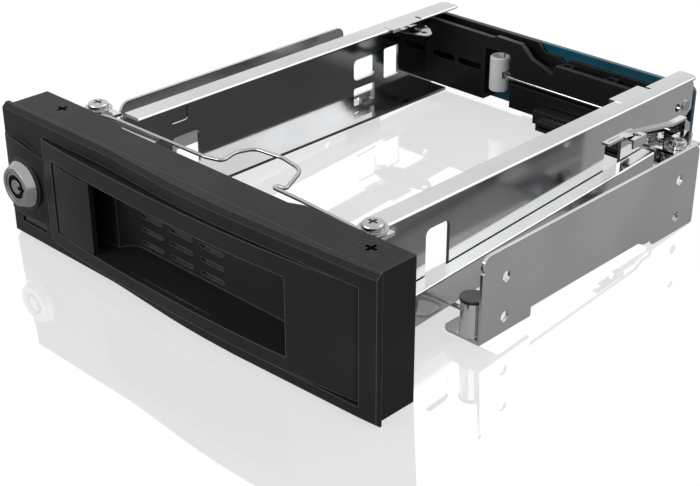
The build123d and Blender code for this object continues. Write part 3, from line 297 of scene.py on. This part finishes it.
def moulding(name, colour, roughness, grain=2600.0, relief=0.25, shine=0.5, painted_edge_highlight=None):
    """Moulded plastic: a fine grain, faint clouds from the flow, and, where given, edges painted
    lighter as a highlight.
    """
    finish = Finish(bpy.data.materials.new(name))
    cloud = finish.noise(scale=38.0, detail=3.0)
    grip = finish.noise(scale=95.0, detail=4.0, stretch=(1.0, 1.0, 2.0))
    pits = finish.noise(scale=grain)
    cloudiness, grip_spread, pit_depth = 0.16, 0.16, 0.00004
    dark = tuple((1.0 - cloudiness) * part for part in colour)
    bright = tuple((1.0 + cloudiness) * part for part in colour)
    body = finish.mix(finish.between(cloud, cloud_low, cloud_high), dark, bright)
    # Where given, the rounded edges are painted lighter in that colour, a painted highlight.
    if painted_edge_highlight:
        rounded = finish.node("ShaderNodeBevel", {"samples": 6}, {"Radius": highlight_reach})
        flat = finish.node("ShaderNodeNewGeometry", output="True Normal")
        product = {"operation": "DOT_PRODUCT"}
        facing = finish.node("ShaderNodeVectorMath", product, {0: rounded, 1: flat}, output="Value")
        body = finish.mix(finish.between(facing, highlight_start, highlight_full), body, painted_edge_highlight)
    return finish.surface(
        Base_Color=body,
        Roughness=grip * grip_spread + (roughness - grip_spread / 2),
        Normal=finish.bump(pits, relief, pit_depth),
        Specular_IOR_Level=shine,
    )


# The lighter colour painted on the bezel's edges as a highlight.
black_edge_highlight = (0.11, 0.11, 0.111)
bezel_black = moulding(
    "bezel_black_abs", (0.017, 0.0171, 0.0174), 0.42, shine=0.12, painted_edge_highlight=black_edge_highlight)
dress("bezel_frame", bezel_black, edge=0.00035, segments=3)


# Bezel screws. Two blackened steel screws with cross recesses, sunk in the bezel's top, pull it onto
# the tabs of the front sheet.

def plated(name, colour, roughness, streak=(1.0, 1.0, 1.0), scale=60.0, relief=0.1):
    """Plated or polished metal: faint drawn streaks, cloudy plating and fine handling marks."""
    finish = Finish(bpy.data.materials.new(name))
    drawn = finish.noise(scale, detail=5.0, stretch=streak, roughness=0.65)
    cloud = finish.noise(scale=26.0, detail=3.0)
    roughness_spread, streak_depth = 0.14, 0.00002
    dulled, brightened = 0.88, 1.08
    dark = tuple(dulled * part for part in colour)
    bright = tuple(brightened * part for part in colour)
    return finish.surface(
        Base_Color=finish.mix(finish.between(cloud, cloud_low, cloud_high), dark, bright),
        Metallic=1.0,
        Roughness=drawn * roughness_spread + (roughness - roughness_spread / 2),
        Normal=finish.bump(drawn, relief, streak_depth),
    )


black_screw = plated("blackened_screw", (0.02, 0.02, 0.022), 0.45)
dress("bezel_screws", black_screw, edge=0.0001)


# Lock. A chromed turned cone screwed into the left cheek from behind, on a rubber gasket, round a
# tubular key plug that turns its cam behind the door.

chrome = plated("lock_chrome", (0.36, 0.36, 0.37), 0.2, streak=(1.0, 9.0, 1.0), relief=0.02)
core = plated("lock_core", (0.34, 0.34, 0.35), 0.3, scale=300.0)
zinc = plated("zinc_plate", (0.6, 0.6, 0.62), 0.24, scale=150.0)
gasket = moulding("gasket_rubber", (0.012, 0.012, 0.012), 0.6, grain=900.0)
dress("lock_housing", chrome, edge=0.00012)
dress("lock_plug", core, edge=0.00008)
dress("lock_gasket", gasket, edge=0.0001)
dress("lock_nut", zinc, edge=0.00015)
dress("lock_cam", zinc, edge=0.0001)
dress("cam_screw", zinc, edge=0.00008)


# Light window. A strip of smoky acrylic under the lock, with the small board of the two status
# lights behind it.

smoky = moulding("smoky_acrylic", (0.006, 0.006, 0.007), 0.12, grain=300.0, relief=0.02)
light_green = moulding("light_board_lacquer", (0.02, 0.09, 0.045), 0.3, grain=700.0, relief=0.08)
dress("light_window", smoky, edge=0.0001)
dress("light_board", light_green, edge=0.0001)


# Door. A bowed ABS shell on a steel pin at the right, with a scooped handle recess, nine vent slots
# in the recess's back wall and a sprung flap at its left end. The recess's wall is moved back on its
# inner side, so that it is thick enough for the slots to look dark.

# Lighter colours painted on the door's and the flap's edges as a highlight.
door_edge_highlight = (0.13, 0.13, 0.131)
faint_edge_highlight = (0.05, 0.05, 0.051)
door_black = moulding(
    "door_black_abs", (0.019, 0.0191, 0.0194), 0.4, shine=0.12, painted_edge_highlight=door_edge_highlight)
flap_black = moulding(
    "flap_black_abs", (0.021, 0.0211, 0.0214), 0.44, shine=0.12, painted_edge_highlight=faint_edge_highlight)
spring = plated("spring_wire", (0.42, 0.42, 0.43), 0.16, scale=400.0)
door = dress("door_shell", door_black, edge=0.0003, segments=3)
recess_back_inside = -0.0746
recess_wall_gain = 0.0007
for corner in door.data.vertices:
    if corner.co.y > recess_back_inside:
        corner.co.y += recess_wall_gain
dress("latch_flap", flap_black, edge=0.0002)
dress("lock_strike", zinc, edge=0.0001)
dress("door_hinge_pin", zinc, edge=0.0001)
dress("door_crank_pin", zinc, edge=0.0001)
dress("latch_pin", zinc, edge=0.00005)
dress("latch_spring", spring, edge=0.00005)


# Front sheet. Bright sheet steel behind the bezel, with two ears at its top that hold the loop of
# spring wire under washers and cross-recess screws.

front_steel = plated("front_sheet_steel", (0.6, 0.6, 0.61), 0.12, streak=(1.0, 6.0, 6.0))
nickel = plated("nickelled_screw", (0.45, 0.445, 0.44), 0.2, scale=200.0)
dress("front_sheet", front_steel, edge=0.00015)
dress("clamp_screws", nickel, edge=0.0001)
dress("clamp_washers", nickel, edge=0.0001)
dress("loop_spring", spring, edge=0.0)


# Inner rails. Each is folded from one millimetre of bright rolled steel: a top flange, a tall wall
# with windows, and a bottom flange that the disk slides on.

rail_steel = plated("rail_steel", (0.6, 0.605, 0.61), 0.1, streak=(6.0, 0.5, 6.0), scale=120.0)
dress("rail_right", rail_steel, edge=0.00015)
dress("rail_left", rail_steel, edge=0.00005)
dress("hold_down_spring", spring, edge=0.0001)
dress("hold_down_rivets", nickel, edge=0.0)


# Outer side plates. Plated sheet with the bay's screw holes, on a folded foot each side, and tied to
# the rails by riveted brackets. A chromed post with a black cap stands on each foot.

plate_steel = plated("side_plate_steel", (0.56, 0.565, 0.57), 0.16, streak=(6.0, 0.5, 6.0), scale=90.0)
post_chrome = plated("post_chrome", (0.74, 0.74, 0.76), 0.1, scale=200.0)
cap_black = moulding("post_cap_black", (0.015, 0.015, 0.016), 0.35, grain=1200.0, relief=0.1)
for side in ("right", "left"):
    dress("side_plate_" + side, plate_steel, edge=0.0002)
    dress("guide_post_" + side, post_chrome, edge=0.0002)
    dress("tie_bracket_" + side, plate_steel, edge=0.00015)
dress("post_caps", cap_black, edge=0.0002)
dress("guide_pins", zinc, edge=0.00005)
dress("tie_rivets", nickel, edge=0.00015)


# Ejector. The door's crank pin draws the folded arm forward, its tongue swings the lever on the
# rail's tab, and the acetal roller at the end of the rod pushes the disk out.

arm_steel = plated("arm_steel", (0.58, 0.585, 0.59), 0.12, streak=(6.0, 0.5, 6.0))
acetal = moulding("roller_acetal", (0.72, 0.73, 0.74), 0.4, grain=800.0, relief=0.08)
dress("ejector_arm", arm_steel, edge=0.00012)
dress("ejector_lever", arm_steel, edge=0.0001)
dress("lever_crank_pin", zinc, edge=0.0001)
dress("lever_pivot_screw", nickel, edge=0.0001)
dress("ejector_roller", acetal, edge=0.0001)


# Rear panel, board and sockets. The black panel joins the rails at the back and carries the blue
# circuit board with its sockets for the disk and for the computer's cables.

# Its edges get the faint painted highlight too.
panel_black = moulding(
    "panel_black_abs", (0.008, 0.008, 0.0084), 0.4, shine=0.2, painted_edge_highlight=faint_edge_highlight)
blue = moulding("board_blue_lacquer", (0.0, 0.068, 0.105), 0.25, grain=500.0, relief=0.05)
socket_black = moulding("socket_black", (0.01, 0.01, 0.011), 0.35, grain=900.0, relief=0.1)
dress("rear_panel", panel_black, edge=0.0003, segments=3)
dress("backplane_board", blue, edge=0.0001)
dress("board_screws", nickel, edge=0.0001)
dress("panel_screws", nickel, edge=0.0001)
dress("drive_socket", socket_black, edge=0.0001)
dress("host_data_socket", socket_black, edge=0.0001)
dress("host_power_socket", socket_black, edge=0.0001)


# Socket contacts. Rows of gilded spring blades pressed into the mouldings at the connector's pitch:
# fifteen for power and seven for data, in the disk's socket and again in the two on the board's back.

gilt = plated("contact_gilt", (0.34, 0.29, 0.19), 0.3, scale=500.0)
contact_pitch = 0.00127
power_contacts = 15
data_contacts = 7
blade_width, blade_thickness = 0.0006, 0.0002
bump_width, bump_length, bump_thickness = 0.0004, 0.0007, 0.0002
bump_rise = 0.0001
bump_share = 0.3


def contact_tree():
    """One spring blade with a raised bump near its tip, repeated along X."""
    tree = bpy.data.node_groups.new("contact_row", "GeometryNodeTree")
    tree.interface.new_socket("Contacts", in_out="INPUT", socket_type="NodeSocketInt")
    for label in ("Step", "First", "Blade", "Bump", "Bump Place"):
        tree.interface.new_socket(label, in_out="INPUT", socket_type="NodeSocketVector")
    tree.interface.new_socket("Finish", in_out="INPUT", socket_type="NodeSocketMaterial")
    tree.interface.new_socket("Row", in_out="OUTPUT", socket_type="NodeSocketGeometry")
    given = tree.nodes.new("NodeGroupInput")
    line = tree.nodes.new("GeometryNodeMeshLine")
    blade = tree.nodes.new("GeometryNodeMeshCube")
    bump = tree.nodes.new("GeometryNodeMeshCube")
    raised = tree.nodes.new("GeometryNodeTransform")
    both = tree.nodes.new("GeometryNodeJoinGeometry")
    spread = tree.nodes.new("GeometryNodeInstanceOnPoints")
    real = tree.nodes.new("GeometryNodeRealizeInstances")
    gilded = tree.nodes.new("GeometryNodeSetMaterial")
    row = tree.nodes.new("NodeGroupOutput")
    joins = (
        (given.outputs["Contacts"], line.inputs["Count"]),
        (given.outputs["First"], line.inputs["Start Location"]),
        (given.outputs["Step"], line.inputs["Offset"]),
        (given.outputs["Blade"], blade.inputs["Size"]),
        (given.outputs["Bump"], bump.inputs["Size"]),
        (bump.outputs["Mesh"], raised.inputs["Geometry"]),
        (given.outputs["Bump Place"], raised.inputs["Translation"]),
        (blade.outputs["Mesh"], both.inputs["Geometry"]),
        (raised.outputs["Geometry"], both.inputs["Geometry"]),
        (line.outputs["Mesh"], spread.inputs["Points"]),
        (both.outputs["Geometry"], spread.inputs["Instance"]),
        (spread.outputs["Instances"], real.inputs["Geometry"]),
        (real.outputs["Geometry"], gilded.inputs["Geometry"]),
        (given.outputs["Finish"], gilded.inputs["Material"]),
        (gilded.outputs["Geometry"], row.inputs["Row"]),
    )
    for source, target in joins:
        tree.links.new(source, target)
    return tree


contact_rule = contact_tree()


def contact_row(name, count, middle_x, y, z, length, up):
    """A row of blades about middle_x, with its bumps above the blades, or below for up = -1."""
    maker = bpy.data.objects.new(name + "_maker", bpy.data.meshes.new(name + "_maker"))
    scene.collection.objects.link(maker)
    rule = maker.modifiers.new("row", "NODES")
    rule.node_group = contact_rule
    given = {
        "Contacts": count,
        "Step": (contact_pitch, 0.0, 0.0),
        "First": (middle_x - contact_pitch * (count - 1) / 2, y, z),
        "Blade": (blade_width, length, blade_thickness),
        "Bump": (bump_width, bump_length, bump_thickness),
        "Bump Place": (0.0, -bump_share * length, bump_rise * up),
        "Finish": gilt,
    }
    for item in contact_rule.interface.items_tree:
        if item.in_out == "INPUT":
            rule[item.identifier] = given[item.name]
    view = bpy.context.evaluated_depsgraph_get()
    mesh = bpy.data.meshes.new_from_object(maker.evaluated_get(view))
    bpy.data.objects.remove(maker)
    piece = bpy.data.objects.new(name, mesh)
    scene.collection.objects.link(piece)
    settle(piece, "cage", slot_of["board_screws"])


slot_roof_rise, deck_slot_depth = 0.0018, 0.0016
drive_inset = 0.0042
drive_blade = 0.0036
power_offset, data_offset = 0.0145, 0.032
drive_low, drive_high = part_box("drive_socket")
slot_roof = drive_low[2] + slot_roof_rise
deck_slot_floor = drive_high[2] - deck_slot_depth
drive_contact_y = drive_low[1] + drive_inset
power_middle = drive_low[0] + power_offset
data_middle = drive_low[0] + data_offset
for tier, z, up in (("lower", slot_roof, -1), ("upper", deck_slot_floor, 1)):
    for kind, count, middle in (
        ("power", power_contacts, power_middle),
        ("data", data_contacts, data_middle),
    ):
        row_name = f"{tier}_{kind}_contacts"
        contact_row(row_name, count, middle, drive_contact_y, z, drive_blade, up)

host_inset = 0.0025
host_blade = 0.003
tongue_rise = 0.0006
for name, count in (("host_data_socket", data_contacts), ("host_power_socket", power_contacts)):
    low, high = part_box(name)
    tongue_top = (low[2] + high[2]) / 2 + tongue_rise
    middle = (low[0] + high[0]) / 2
    contact_row(name + "_contacts", count, middle, high[1] - host_inset, tongue_top, host_blade, 1)
